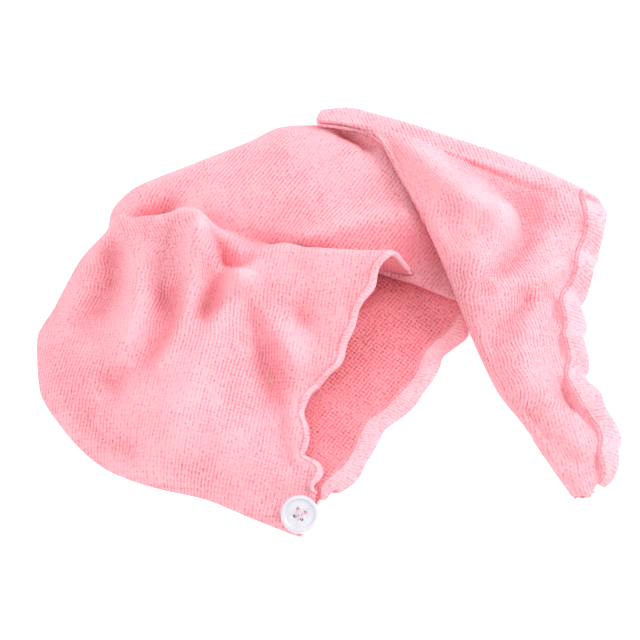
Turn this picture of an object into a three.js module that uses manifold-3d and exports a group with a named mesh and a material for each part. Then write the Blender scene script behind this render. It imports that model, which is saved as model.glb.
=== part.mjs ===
import * as THREE from 'three';
import Manifold from 'manifold-3d';

const manifold = await Manifold();
manifold.setup();

// A hair turban towel that lies crumpled: two mirrored cloth panels sewn along the crown and the front seam.

// Sizes of the towel as it lies, in millimetres
const LENGTH = 400;
const DEPTH = 300;
const HEIGHT = 60;
const CLOTH = 2.4;
const GAP = 0.3;
const PUFF = 7;
const EDGE_ROLL = 5;

// Hems and seam
const TOP_HEM_WIDTH = 6.5;
const BOTTOM_HEM_WIDTH = 13;
const HEM_CLOTH = 3.6;
const SEAM_WIDTH = 14;
const SEAM_CLOTH = 3.6;
const SEAM_WAVE = 2.2;
const SEAM_WAVES = 10;

// Button and its thread
const BUTTON_DIAMETER = 26;
const BUTTON_THICKNESS = 4;
const BUTTON_RIM = 3.2;
const BUTTON_DISH = 1.1;
const HOLE_DIAMETER = 2.2;
const HOLE_SPACING = 5.3;
const HOLE_TURN = -25;
const BUTTON_TILT = 12;
const THREAD_DIAMETER = 1.2;
const THREAD_SIDES = 10;

// Place of the button, in hundredths of LENGTH from the left and of DEPTH from the nape
const BUTTON_ALONG = 45.1;
const BUTTON_UP = 4.5;

// Loop at the tail's tip
const LOOP_CORD = 2.2;
const LOOP_LENGTH = 26;
const LOOP_WIDTH = 12;
const LOOP_TURN = 62;
const LOOP_BEFORE_TIP = 1.8;

// How finely the cloth is divided
const STEPS_ALONG = 64;
const STEPS_ACROSS = 15;

// The hood, a row for each section from the nape to the crease.
// x is in hundredths of LENGTH from the left, y of DEPTH from the nape, z of HEIGHT.
// rim is the upper panel's edge at the mouth, and low the lower panel's.
// z1 to z5 are heights towards the crown.
const HOOD_COLUMNS = [
  'rimX', 'rimY', 'rimZ', 'lowX', 'lowY', 'crownX', 'crownY', 'bow', 'z1', 'z2', 'z3', 'z4', 'z5',
];
const HOOD = [
  [47.5, 7.3, 9, 47.8, 7.3, 45.2, 0.7, 0, 9, 9, 9, 9, 8],
  [47, 12.7, 12, 48.5, 12, 37, 5.3, 0, 13, 14, 14, 13, 10],
  [46.8, 16, 16, 49.8, 15, 28.8, 10, 0, 26, 30, 28, 22, 13],
  [45.2, 19.3, 20, 52.5, 19, 20.8, 12.6, 0, 40, 46, 42, 32, 19],
  [44.8, 25.3, 28, 54.5, 22.7, 12.8, 16.9, 0, 50, 56, 50, 38, 23],
  [45.2, 32.3, 35, 56.2, 29, 5.4, 26.6, 0, 54, 60, 56, 44, 27],
  [47.8, 36, 42, 59.5, 32.7, 1, 37.6, 0, 58, 62, 58, 47, 29],
  [50.2, 38.7, 50, 62.2, 36, 0.5, 48.3, 0, 64, 64, 60, 47, 29],
  [52.5, 46, 66, 63.8, 40, 3.4, 56.8, 0, 70, 68, 62, 48, 29],
  [55.5, 54, 86, 65.5, 44, 7.8, 69, -1, 84, 74, 74, 54, 32],
  [59.5, 62, 100, 67.5, 48, 12.4, 77, -4, 92, 76, 92, 70, 50],
  [65.5, 64, 12, 71, 53.7, 12.8, 80.6, -1, 20, 30, 36, 32, 24],
  [73.8, 58, 7, 73.8, 57.3, 16, 86.2, 0, 24, 40, 42, 36, 27],
  [80, 65.3, 7, 80, 65.3, 26.2, 92.8, 0, 26, 44, 48, 42, 31],
  [85.5, 72, 7, 85.5, 72, 35.8, 98.4, 0, 26, 44, 50, 44, 30],
  [89.5, 78.6, 8, 89.5, 78.6, 42.6, 102.6, 0, 24, 40, 45, 38, 24],
];

// The line where the tail folds back over the hood, from the front seam to the crown
const CREASE_COLUMNS = ['share', 'x', 'y'];
const CREASE = [
  [0, 93.4, 86.2],
  [0.2, 85.2, 91],
  [0.45, 74.4, 95.9],
  [0.68, 64.9, 100.2],
  [0.84, 58, 103.5],
  [0.94, 53, 105.4],
  [1, 49, 105],
];
const TURN_STEPS = 4;

// The tail, a row for each section from the crease to the tip; z0 is at the seam and z4 at the crown.
// The first row is the top of the fold, so only its heights are used.
const TAIL_COLUMNS = ['seamX', 'seamY', 'crownX', 'crownY', 'z0', 'z1', 'z2', 'z3', 'z4'];
const TAIL = [
  [93, 84, 50, 100, 23, 42, 52, 52, 42],
  [93.9, 79.8, 57.2, 97, 20, 43, 57, 62, 57],
  [93, 72, 62.3, 85.6, 17, 40, 55, 67, 60],
  [92, 65.9, 65.6, 77, 15, 38, 53, 63, 58],
  [89.9, 60, 69, 66.8, 14, 34, 48, 58, 52],
  [89.6, 54, 71.8, 57.2, 14, 30, 43, 50, 43],
  [90.2, 47.7, 74.1, 49.4, 14, 27, 37, 42, 33],
  [90.1, 41.3, 76.4, 42.2, 14, 25, 33, 37, 27],
  [91.4, 35.3, 78.9, 35.2, 14, 23, 30, 30, 22],
  [93.2, 29.3, 82.2, 29.2, 14, 22, 27, 27, 18],
  [95.6, 23.3, 85.4, 22.6, 14, 22, 27, 25, 17],
  [96, 16.8, 88.3, 16.2, 13, 20, 23, 22, 15],
  [94, 9.6, 91.4, 9.8, 11, 14, 15, 15, 12],
];

// Folds pressed into the cloth: a crest where depth is above zero, a valley where it is below.
// A fold runs in a curve through three places.
// Width is in hundredths of LENGTH and depth of HEIGHT, at both ends.
// lean pushes a crest away from the nape, in hundredths of DEPTH.
const FOLD_COLUMNS = [
  'fromX', 'fromY', 'viaX', 'viaY', 'toX', 'toY', 'width', 'endWidth', 'depth', 'endDepth', 'lean',
];
const FOLD_SHARPNESS = 1.7;
const FOLD_PIECES = 8;
const HOOD_FOLDS = [
  [26, 73, 27.3, 70, 28.6, 66, 3.2, 2.6, 10, 8, 3],
  [36, 67.5, 35.6, 65.5, 35.2, 63.5, 3, 3, -6, -6, -1.5],
  [28.4, 64, 36, 54, 45.6, 34.5, 2.1, 2.5, 20, 22, 0],
  [36.2, 53, 40.2, 40.2, 43.4, 20, 2.5, 3.8, -28, -20, 0],
  [31.9, 63, 31.2, 57, 28.8, 49.7, 2.9, 2.2, -32, -16, 0],
  [27.2, 64.3, 26, 51, 21.8, 38, 1.7, 2.8, 19, 12, 0],
  [34.9, 56.9, 29.3, 40.8, 22.7, 19.7, 2.4, 4, 16, 14, 0],
  [23.2, 54.8, 22.4, 44.8, 13.5, 34.5, 2, 3, -16, -17, 0],
  [14.4, 71.5, 17.6, 58, 15.2, 39, 1.7, 2.8, 14, 14, 0],
  [13, 70, 13.6, 61.5, 8.4, 50, 2.2, 3.8, -24, -14, 0],
  [17, 19.6, 10.4, 25.6, 5, 37, 2, 2.6, -10, -6, 0],
  [23, 68.5, 21.6, 56.5, 19.6, 44.5, 1.8, 2.2, -9, -9, 0],
  [16.3, 77.2, 19.3, 78.6, 22.2, 79.6, 1.8, 1.8, -24, -18, 0],
  [42.6, 68.4, 52.8, 73.1, 63, 77.1, 1.9, 2.6, 12, 10, 0],
  [53.2, 98.6, 54.8, 97, 56.6, 95, 1.5, 1.6, -24, -16, 0],
  [45.2, 49.8, 46.8, 47, 48.2, 44.4, 1.8, 1.8, -10, -6, 0],
];
const TAIL_FOLDS = [
  [63, 92, 68.3, 85, 77, 75, 2.8, 3, 8, 14, 0],
  [79.6, 76, 78.4, 68.8, 75.2, 59.5, 2.2, 2.4, 14, 8, 0],
  [72, 91, 77.5, 86, 85, 79.6, 3.4, 2.8, -4, -24, 0],
  [85, 80, 82.5, 70, 76.5, 58.5, 2.4, 2.2, -24, -14, 0],
  [89.4, 65, 85.4, 60.6, 79.2, 58, 1.8, 2, 12, 8, 0],
  [83.4, 56.5, 81, 50.4, 78.1, 45, 1.7, 1.8, -13, -8, 0],
  [88.2, 58, 89, 54.5, 89.4, 51, 1.6, 1.6, -9, -8, 0],
  [84.6, 28.8, 88.2, 21.6, 93, 16.6, 2.2, 2.2, -6, -5, 0],
  [90, 37, 90.8, 34, 91.4, 31.8, 1.6, 1.6, -9, -8, 0],
  [84, 47, 83, 41, 84.5, 34, 2, 2, 6, 4, 0],
];

// Reading the tables
const ACROSS = [0, 0.25, 0.5, 0.68, 0.84, 0.94, 1];
const TAIL_ACROSS = [0, 0.25, 0.5, 0.75, 1];
const SPACING = CLOTH + 2 * GAP;
const EDGE_Z = 1.5 * CLOTH + GAP;

function rows(table, columns) {
  return table.map((row) => Object.fromEntries(columns.map((name, i) => [name, row[i]])));
}

const hoodRows = rows(HOOD, HOOD_COLUMNS);
const tailRows = rows(TAIL, TAIL_COLUMNS);
const creaseRows = rows(CREASE, CREASE_COLUMNS);

const clamp = (value, low, high) => Math.min(Math.max(value, low), high);
const mix = (a, b, share) => a + (b - a) * share;
const ease = (share) => {
  const s = clamp(share, 0, 1);
  return s * s * (3 - 2 * s);
};
const atX = (hundredths) => (hundredths * LENGTH) / 100;
const atY = (hundredths) => (hundredths * DEPTH) / 100;
const atZ = (hundredths) => (hundredths * HEIGHT) / 100;
const withCourse = (fold) => ({ ...fold, course: course(fold) });
const hoodFolds = rows(HOOD_FOLDS, FOLD_COLUMNS).map(withCourse);
const tailFolds = rows(TAIL_FOLDS, FOLD_COLUMNS).map(withCourse);

// A smooth line through the values that never runs past them
function through(places, values, at) {
  const last = places.length - 1;
  let i = 0;
  while (i < last - 1 && at > places[i + 1]) i += 1;
  const step = (k) => places[k + 1] - places[k];
  const rise = (k) => (values[k + 1] - values[k]) / step(k);
  const slope = (k) => {
    if (k === 0) return rise(0);
    if (k === last) return rise(last - 1);
    const before = rise(k - 1);
    const after = rise(k);
    if (before * after <= 0) return 0;
    return (2 * before * after) / (before + after);
  };
  const wide = step(i);
  const f = clamp((at - places[i]) / wide, 0, 1);
  const a = 1 + 2 * f;
  const b = 1 - f;
  const c = 3 - 2 * f;
  return a * b * b * values[i] + f * b * b * wide * slope(i) + f * f * c * values[i + 1]
    - f * f * b * wide * slope(i + 1);
}

// The places that a fold runs through
function course(fold) {
  const controlX = 2 * fold.viaX - (fold.fromX + fold.toX) / 2;
  const controlY = 2 * fold.viaY - (fold.fromY + fold.toY) / 2;
  return Array.from({ length: FOLD_PIECES + 1 }, (_, n) => {
    const f = n / FOLD_PIECES;
    const curve = (from, control, to) => (1 - f) ** 2 * from + 2 * f * (1 - f) * control + f * f * to;
    return [atX(curve(fold.fromX, controlX, fold.toX)), atY(curve(fold.fromY, controlY, fold.toY))];
  });
}

// Height of the pressed folds at a place, and how far they lean back
function relief(folds, x, y) {
  let height = 0;
  let back = 0;
  for (const fold of folds) {
    let away = Infinity;
    let share = 0;
    for (let n = 0; n < FOLD_PIECES; n += 1) {
      const [ax, ay] = fold.course[n];
      const [bx, by] = fold.course[n + 1];
      const long = (bx - ax) ** 2 + (by - ay) ** 2;
      const near = clamp(((x - ax) * (bx - ax) + (y - ay) * (by - ay)) / long, 0, 1);
      const gap = Math.hypot(x - mix(ax, bx, near), y - mix(ay, by, near));
      if (gap < away) {
        away = gap;
        share = (n + near) / FOLD_PIECES;
      }
    }
    const width = atX(mix(fold.width, fold.endWidth, share));
    const form = Math.exp(-((away / width) ** FOLD_SHARPNESS));
    height += atZ(mix(fold.depth, fold.endDepth, share)) * form;
    back += atY(fold.lean) * form;
  }
  return { height, back };
}

// One place of the upper panel on the hood
function hoodTop(row, s) {
  const heights = [row.rimZ, row.z1, row.z2, row.z3, row.z4, row.z5].map(atZ);
  heights[0] = Math.max(heights[0], EDGE_Z);
  heights.push(EDGE_Z);
  const bow = atY(row.bow) * Math.sin(Math.PI * s);
  return [
    mix(atX(row.rimX), atX(row.crownX), s),
    mix(atY(row.rimY), atY(row.crownY), s) + bow,
    Math.max(through(ACROSS, heights, s), EDGE_Z),
  ];
}

// One place of the lower panel on the hood, that lies flat
function hoodLow(row, s) {
  return [mix(atX(row.lowX), atX(row.crownX), s), mix(atY(row.lowY), atY(row.crownY), s), CLOTH / 2];
}

// The turn of a panel round the crease, at one angle from below to above
function turn(s, angle, bottom, top, inset) {
  const shares = creaseRows.map((row) => row.share);
  const first = creaseRows[0];
  const last = creaseRows[creaseRows.length - 1];
  const runX = atX(last.x - first.x);
  const runY = atY(last.y - first.y);
  const long = Math.hypot(runX, runY);
  const radius = (top - bottom) / 2;
  const out = radius * Math.cos(angle) - radius - inset;
  return [
    through(shares, creaseRows.map((row) => atX(row.x)), s) + (runY / long) * out,
    through(shares, creaseRows.map((row) => atY(row.y)), s) - (runX / long) * out,
    (top + bottom) / 2 + radius * Math.sin(angle),
  ];
}

// Heights of the tail across one section
function tailHeight(row, s) {
  return through(TAIL_ACROSS, [row.z0, row.z1, row.z2, row.z3, row.z4].map(atZ), s);
}

// The key places of both panels along one line from the nape to the tip
function keys(s) {
  const top = hoodRows.map((row) => hoodTop(row, s));
  const low = hoodRows.map((row) => hoodLow(row, s));
  const lastTop = top[top.length - 1][2];
  const foldTop = Math.max(tailHeight(tailRows[0], s), lastTop + 2.4 * SPACING);
  const slack = clamp(0.5 * (foldTop - lastTop - 2.2 * SPACING), 0, PUFF) * Math.sin(Math.PI * s);
  const innerTop = foldTop - 1.5 * SPACING - slack;
  const inset = (foldTop - CLOTH / 2 - innerTop + lastTop) / 2;
  for (let i = 0; i <= TURN_STEPS; i += 1) {
    const angle = -Math.PI / 2 + (Math.PI * i) / TURN_STEPS;
    top.push(turn(s, angle, lastTop, innerTop, inset));
    low.push(turn(s, angle, CLOTH / 2, foldTop, 0));
  }
  for (const row of tailRows.slice(1)) {
    const place = [
      mix(atX(row.seamX), atX(row.crownX), s),
      mix(atY(row.seamY), atY(row.crownY), s),
      tailHeight(row, s),
    ];
    low.push(place);
    top.push(place);
  }
  return { top, low, slack };
}

const HOOD_END = hoodRows.length - 1;
const TURN_END = HOOD_END + TURN_STEPS + 1;
const TIP = TURN_END + tailRows.length - 1;
const ORDER = Array.from({ length: TIP + 1 }, (_, i) => i);

function along(points, t) {
  return [0, 1, 2].map((axis) => through(ORDER, points.map((p) => p[axis]), t));
}

// Height of the hood's upper face under the tail, on a coarse map that is spread and smoothed
const CELL = 6;
const SHELF_FROM = 11.4;
const MARGIN = 3;

function shelfMap(columns) {
  const wide = Math.ceil(LENGTH / CELL) + 3 * MARGIN;
  const deep = Math.ceil(DEPTH / CELL) + 4 * MARGIN;
  let map = new Float64Array(wide * deep);
  for (const column of columns) {
    for (let t = SHELF_FROM; t <= HOOD_END + 0.5; t += 0.08) {
      const [x, y, z] = along(column.top, t);
      const i = clamp(Math.round(x / CELL) + MARGIN, 0, wide - 1);
      const j = clamp(Math.round(y / CELL) + MARGIN, 0, deep - 1);
      const face = z + relief(hoodFolds, x, y).height + CLOTH / 2;
      map[j * wide + i] = Math.max(map[j * wide + i], face);
    }
  }
  const spread = (join, start) => {
    const next = new Float64Array(wide * deep);
    for (let j = 1; j < deep - 1; j += 1) {
      for (let i = 1; i < wide - 1; i += 1) {
        let value = start;
        for (let dj = -1; dj <= 1; dj += 1) {
          for (let di = -1; di <= 1; di += 1) value = join(value, map[(j + dj) * wide + i + di]);
        }
        next[j * wide + i] = value;
      }
    }
    return next;
  };
  map = spread(Math.max, 0);
  map = spread((sum, value) => sum + value / 9, 0);
  return (x, y) => {
    const u = clamp(x / CELL + MARGIN, 0, wide - 1.01);
    const v = clamp(y / CELL + MARGIN, 0, deep - 1.01);
    const i = Math.floor(u);
    const j = Math.floor(v);
    const low = mix(map[j * wide + i], map[j * wide + i + 1], u - i);
    const high = mix(map[(j + 1) * wide + i], map[(j + 1) * wide + i + 1], u - i);
    return mix(low, high, v - j);
  };
}

// Lines across the cloth lie closer together near its two edges
const across = (k, steps) => mix(k / steps, 0.5 - 0.5 * Math.cos((Math.PI * k) / steps), 0.6);

const cross = (a, b) => [a[1] * b[2] - a[2] * b[1], a[2] * b[0] - a[0] * b[2], a[0] * b[1] - a[1] * b[0]];
const less = (a, b) => [a[0] - b[0], a[1] - b[1], a[2] - b[2]];
const moved = (a, way, far) => [a[0] + way[0] * far, a[1] + way[1] * far, a[2] + way[2] * far];
const unit = (a) => {
  const long = Math.hypot(...a) || 1;
  return a.map((value) => value / long);
};

// The way out of a grid of points, rows along the first index
function normals(grid) {
  return grid.map((row, i) => row.map((_, k) => {
    const down = less(grid[Math.min(i + 1, grid.length - 1)][k], grid[Math.max(i - 1, 0)][k]);
    const side = less(row[Math.min(k + 1, row.length - 1)], row[Math.max(k - 1, 0)]);
    return unit(cross(down, side));
  }));
}

function panels() {
  const columns = [];
  for (let k = 0; k <= STEPS_ACROSS; k += 1) {
    const s = across(k, STEPS_ACROSS);
    columns.push({ s, ...keys(s) });
  }
  const shelf = shelfMap(columns);
  const top = [];
  const low = [];
  const places = [];
  for (let i = 0; i <= STEPS_ALONG; i += 1) {
    const t = (TIP * i) / STEPS_ALONG;
    places.push(t);
    const onTail = ease(t - TURN_END);
    top.push(columns.map(({ s, top: points }) => {
      const [x, y, z] = along(points, t);
      const held = ease((1 - s) * 8) * ease(s * 6) * ease(HOOD_END + 1 - t);
      const { height, back } = relief(hoodFolds, x, y);
      return [x, y + back * held, Math.max(z + height * held, EDGE_Z)];
    }));
    low.push(columns.map(({ s, low: points }) => {
      const [x, y, z] = along(points, t);
      const roll = EDGE_ROLL * (1 - Math.sqrt(1 - clamp((s - 0.9) / 0.1, 0, 1) ** 2));
      const calm = ease(s * 6) * ease((1 - s) * 6);
      const folded = z + onTail * (relief(tailFolds, x, y).height * calm - roll);
      const least = shelf(x, y) + 2.2 * SPACING;
      return [x, y, mix(z, Math.max(folded, least), onTail)];
    }));
  }
  const out = normals(low);
  for (let i = 0; i <= STEPS_ALONG; i += 1) {
    if (places[i] <= TURN_END) continue;
    const share = ease(places[i] - TURN_END);
    for (let k = 0; k <= STEPS_ACROSS; k += 1) {
      const [x, y, z] = low[i][k];
      const { s, slack } = columns[k];
      const room = Math.max(z - shelf(x, y) - 2.2 * SPACING, 0);
      const puff = mix(slack, Math.min(0.7 * room, PUFF) * Math.sin(Math.PI * s), share);
      const way = out[i][k][2] > 0 ? -1 : 1;
      top[i][k] = moved(low[i][k], out[i][k], way * (SPACING + puff));
    }
  }
  return { top, low, places };
}

// A closed sheet round a grid of points, with a thickness for each line along it
function sheet(grid, thickness, out = normals(grid)) {
  const half = (k) => (Array.isArray(thickness) ? thickness[k] : thickness) / 2;
  const upper = grid.map((row, i) => row.map((p, k) => moved(p, out[i][k], half(k))));
  const lower = grid.map((row, i) => row.map((p, k) => moved(p, out[i][k], -half(k))));
  for (const p of [...upper.flat(), ...lower.flat()]) p[2] = Math.max(p[2], 0);
  const points = [...upper.flat(), ...lower.flat()];
  const wide = grid[0].length;
  const layer = grid.length * wide;
  const faces = [];
  const quad = (a, b, c, d) => faces.push([a, b, c], [a, c, d]);
  for (let i = 0; i < grid.length - 1; i += 1) {
    for (let k = 0; k < wide - 1; k += 1) {
      const a = i * wide + k;
      quad(a, a + wide, a + wide + 1, a + 1);
      quad(layer + a, layer + a + 1, layer + a + wide + 1, layer + a + wide);
    }
    const a = i * wide;
    const b = a + wide - 1;
    quad(a, layer + a, layer + a + wide, a + wide);
    quad(b, b + wide, layer + b + wide, layer + b);
  }
  for (let k = 0; k < wide - 1; k += 1) {
    const b = layer - wide + k;
    quad(k, k + 1, layer + k + 1, layer + k);
    quad(b, layer + b, layer + b + 1, b + 1);
  }
  return closed(points, faces);
}

function closed(points, faces) {
  const geometry = new THREE.BufferGeometry();
  geometry.setAttribute('position', new THREE.Float32BufferAttribute(points.flat(), 3));
  geometry.setIndex(faces.flat());
  geometry.computeVertexNormals();
  return geometry;
}

// A strip that goes on from a panel's mouth or seam edge, as thick there as the panel and fuller outside
function edgeStrip({ grid, from, to, width, thickness, sink = 0, wave = 0, waves = 0, lowest }) {
  const panelOut = normals(grid);
  const kept = places.map((t, i) => i).filter((i) => places[i] >= from && places[i] <= to);
  const shares = [1, 0.65, 0.3, 0];
  const out = kept.map((i) => shares.map(() => panelOut[i][0]));
  const strip = kept.map((i) => {
    const share = (places[i] - from) / (to - from);
    const taper = 0.3 + 0.7 * ease(Math.min(share, 1 - share) * 14);
    const run = less(grid[i + 1][0], grid[i - 1][0]);
    const square = unit(cross(panelOut[i][0], run));
    const inward = less(grid[i][1], grid[i][0]);
    const side = square[0] * inward[0] + square[1] * inward[1] + square[2] * inward[2] > 0 ? -1 : 1;
    const way = square.map((value) => value * side);
    return shares.map((part) => {
      const sunk = moved(grid[i][0], panelOut[i][0], -sink);
      const [x, y, z] = moved(sunk, way, 3 * GAP + part * width * taper);
      const lift = wave * part * Math.sin(2 * Math.PI * waves * share);
      return [x, y, Math.max(z + lift, lowest)];
    });
  });
  return sheet(strip, [thickness * 0.8, thickness, thickness, CLOTH], out);
}

// Solid of revolution about the upright axis, given as radius and height
function spun(profile, segments) {
  const section = profile.map(([radius, height]) => new THREE.Vector2(radius, height));
  return new THREE.LatheGeometry(section, segments).rotateX(Math.PI / 2);
}

function asManifold(geometry) {
  const plain = geometry.index ? geometry : geometry.clone();
  const seen = new Map();
  const points = [];
  const index = [];
  const position = plain.getAttribute('position');
  const order = Array.from(plain.index.array).map((n) => {
    const p = [position.getX(n), position.getY(n), position.getZ(n)];
    const name = p.map((value) => Math.round(value * 1e4)).join();
    if (!seen.has(name)) {
      seen.set(name, points.length / 3);
      points.push(...p);
    }
    return seen.get(name);
  });
  for (let i = 0; i < order.length; i += 3) {
    const [a, b, c] = order.slice(i, i + 3);
    if (a !== b && b !== c && c !== a) index.push(a, b, c);
  }
  const mesh = new manifold.Mesh({
    numProp: 3,
    vertProperties: new Float32Array(points),
    triVerts: new Uint32Array(index),
  });
  return new manifold.Manifold(mesh);
}

function fromManifold(solid) {
  const mesh = solid.getMesh();
  const points = [];
  for (let i = 0; i < mesh.vertProperties.length; i += mesh.numProp) {
    points.push([...mesh.vertProperties.slice(i, i + 3)]);
  }
  const faces = [];
  for (let i = 0; i < mesh.triVerts.length; i += 3) faces.push([...mesh.triVerts.slice(i, i + 3)]);
  return closed(points, faces);
}

function rod(diameter, from, to, segments) {
  const a = new THREE.Vector3(...from);
  const b = new THREE.Vector3(...to);
  const geometry = new THREE.CylinderGeometry(diameter / 2, diameter / 2, a.distanceTo(b), segments);
  const turned = new THREE.Quaternion().setFromUnitVectors(
    new THREE.Vector3(0, 1, 0), b.clone().sub(a).normalize());
  geometry.applyQuaternion(turned);
  geometry.translate(...a.add(b).multiplyScalar(0.5).toArray());
  return geometry;
}

const holes = [45, 135, 225, 315].map((degrees) => {
  const angle = ((degrees + HOLE_TURN) * Math.PI) / 180;
  const far = HOLE_SPACING / Math.SQRT2;
  return [far * Math.cos(angle), far * Math.sin(angle)];
});

// The button has a raised smooth rim round a shallow dish
function buttonSolid() {
  const radius = BUTTON_DIAMETER / 2;
  const high = BUTTON_THICKNESS;
  const inner = radius - BUTTON_RIM;
  const profile = [
    [0, 0], [radius * 0.8, 0], [radius * 0.93, high * 0.12], [radius, high * 0.42],
    [radius * 0.985, high * 0.7], [radius * 0.93, high * 0.94], [radius * 0.87, high],
    [inner, high - BUTTON_DISH * 0.45], [inner * 0.8, high - BUTTON_DISH], [0, high - BUTTON_DISH],
  ];
  let solid = asManifold(spun(profile, 40));
  for (const [x, y] of holes) {
    const drill = rod(HOLE_DIAMETER, [x, y, -high], [x, y, 2 * high], 14);
    solid = solid.subtract(asManifold(drill));
  }
  return fromManifold(solid);
}

// The thread comes up through the holes, crosses the dish and goes down to the cloth under the button
function threadSolid(under) {
  const above = BUTTON_THICKNESS - BUTTON_DISH + GAP + THREAD_DIAMETER / 2;
  const below = -GAP - THREAD_DIAMETER / 2;
  const bars = [];
  for (const [a, b] of [[0, 2], [1, 3]]) {
    bars.push([[...holes[a], above], [...holes[b], above]]);
    bars.push([[...holes[a], below], [...holes[b], below]]);
  }
  const past = THREAD_DIAMETER / 3;
  for (const hole of holes) bars.push([[...hole, below - past], [...hole, above + past]]);
  bars.push([[0, 0, below], [0, 0, -under]]);
  const solids = bars.map(([from, to]) => asManifold(rod(THREAD_DIAMETER, from, to, THREAD_SIDES)));
  return fromManifold(solids.reduce((whole, solid) => whole.add(solid)));
}

// The loop is a flat ring of cord under the tip
function loopSolid() {
  const segments = 28;
  const around = 8;
  const points = [];
  const faces = [];
  for (let i = 0; i < segments; i += 1) {
    const angle = (2 * Math.PI * i) / segments;
    const centreX = Math.cos(angle) * (LOOP_LENGTH - LOOP_CORD) / 2;
    const centreY = Math.sin(angle) * (LOOP_WIDTH - LOOP_CORD) / 2;
    for (let j = 0; j < around; j += 1) {
      const round = (2 * Math.PI * j) / around;
      const out = (LOOP_CORD / 2) * Math.cos(round);
      points.push([
        centreX + out * Math.cos(angle),
        centreY + out * Math.sin(angle),
        LOOP_CORD / 2 + (LOOP_CORD / 2) * Math.sin(round),
      ]);
      const next = (i + 1) % segments;
      const [a, b] = [i * around + j, i * around + ((j + 1) % around)];
      const [c, d] = [next * around + ((j + 1) % around), next * around + j];
      faces.push([a, d, c], [a, c, b]);
    }
  }
  return closed(points, faces);
}

const group = new THREE.Group();
group.name = 'hair_turban_towel';
const fastener = new THREE.Group();
group.add(fastener);

function add(name, geometry, colour, roughness, holder = group) {
  const material = new THREE.MeshStandardMaterial({ color: colour, roughness });
  const mesh = new THREE.Mesh(geometry, material);
  mesh.name = name;
  holder.add(mesh);
  return mesh;
}

const { top, low, places } = panels();
add('top_panel', sheet(top, CLOTH), 0xf6b3bf, 0.95);
add('bottom_panel', sheet(low, CLOTH), 0xf2a9b6, 0.95);
const mouthEdge = { from: 0.4, to: 11.6, thickness: HEM_CLOTH };
const topHem = { grid: top, width: TOP_HEM_WIDTH, lowest: HEM_CLOTH / 2 + SPACING, ...mouthEdge, to: 10.7 };
add('top_hem', edgeStrip(topHem), 0xf4aab8, 0.95);
const bottomHem = { grid: low, width: BOTTOM_HEM_WIDTH, lowest: HEM_CLOTH / 2, ...mouthEdge };
add('bottom_hem', edgeStrip(bottomHem), 0xf4aab8, 0.95);
const frontSeam = {
  grid: low,
  from: TURN_END - 0.5,
  to: TIP - 0.4,
  width: SEAM_WIDTH,
  thickness: SEAM_CLOTH,
  sink: SPACING / 2,
  wave: SEAM_WAVE,
  waves: SEAM_WAVES,
  lowest: SEAM_CLOTH / 2,
};
add('front_seam', edgeStrip(frontSeam), 0xf4aab8, 0.95);

// Height of a grid's surface at a place seen from above
function heightAt(grid, x, y) {
  let height = -Infinity;
  const onTriangle = (a, b, c) => {
    const area = (b[0] - a[0]) * (c[1] - a[1]) - (c[0] - a[0]) * (b[1] - a[1]);
    const u = ((x - a[0]) * (c[1] - a[1]) - (c[0] - a[0]) * (y - a[1])) / area;
    const v = ((b[0] - a[0]) * (y - a[1]) - (x - a[0]) * (b[1] - a[1])) / area;
    if (u < 0 || v < 0 || u + v > 1) return;
    height = Math.max(height, a[2] + u * (b[2] - a[2]) + v * (c[2] - a[2]));
  };
  for (let i = 1; i < grid.length; i += 1) {
    for (let k = 1; k < grid[i].length; k += 1) {
      onTriangle(grid[i - 1][k - 1], grid[i][k - 1], grid[i][k]);
      onTriangle(grid[i - 1][k - 1], grid[i][k], grid[i - 1][k]);
    }
  }
  return height;
}

// The button leans towards the nape, on the highest cloth below it
const lean = Math.tan((BUTTON_TILT * Math.PI) / 180);
const face = (p, out) => moved(p, out, CLOTH / 2);
const topOut = normals(top);
const faceGrid = top.map((row, i) => row.map((p, k) => face(p, topOut[i][k])));
const faces = faceGrid.flat();
const buttonX = atX(BUTTON_ALONG);
const buttonY = atY(BUTTON_UP);
const near = (p, far) => Math.hypot(p[0] - buttonX, p[1] - buttonY) < far;
const rise = (p) => p[2] - lean * (p[1] - buttonY);
const highest = (far) => Math.max(...faces.filter((p) => near(p, far)).map(rise));
const seat = highest(BUTTON_DIAMETER / 2 + CLOTH) + THREAD_DIAMETER + 3 * GAP;
const around = Array.from({ length: THREAD_SIDES }, (_, n) => (2 * Math.PI * n) / THREAD_SIDES);
const shankFoot = around.map((angle) => [
  buttonX + (THREAD_DIAMETER / 2) * Math.cos(angle),
  buttonY + (THREAD_DIAMETER / 2) * Math.sin(angle),
]);
const cloth = Math.max(...shankFoot.map(([x, y]) => heightAt(faceGrid, x, y) - lean * (y - buttonY))) + GAP;
add('button', buttonSolid(), 0xf4f2f2, 0.25, fastener);
add('button_thread', threadSolid(seat - cloth), 0xf3a9b4, 0.8, fastener);
fastener.position.set(buttonX, buttonY, seat);
fastener.rotation.x = Math.atan(lean);

// The loop hangs close below the tail's lower cloth
const tip = Math.round((1 - LOOP_BEFORE_TIP / TIP) * STEPS_ALONG);
const middle = top[tip][Math.round(STEPS_ACROSS / 2)];
const loopZ = Math.min(...top.flat()
  .filter((p) => Math.hypot(p[0] - middle[0], p[1] - middle[1]) < LOOP_LENGTH / 2 + CLOTH)
  .map((p) => p[2])) - CLOTH / 2 - GAP - LOOP_CORD;
const loop = add('elastic_loop', loopSolid(), 0xf0b5bd, 0.7);
loop.position.set(middle[0], middle[1], Math.max(loopZ, 0));
loop.rotation.z = (LOOP_TURN * Math.PI) / 180;

// The origin is in the middle of the towel, on the table
group.updateMatrixWorld(true);
const box = new THREE.Box3().setFromObject(group, true);
group.position.set(-(box.min.x + box.max.x) / 2, -(box.min.y + box.max.y) / 2, -box.min.z);
export default group;
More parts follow.
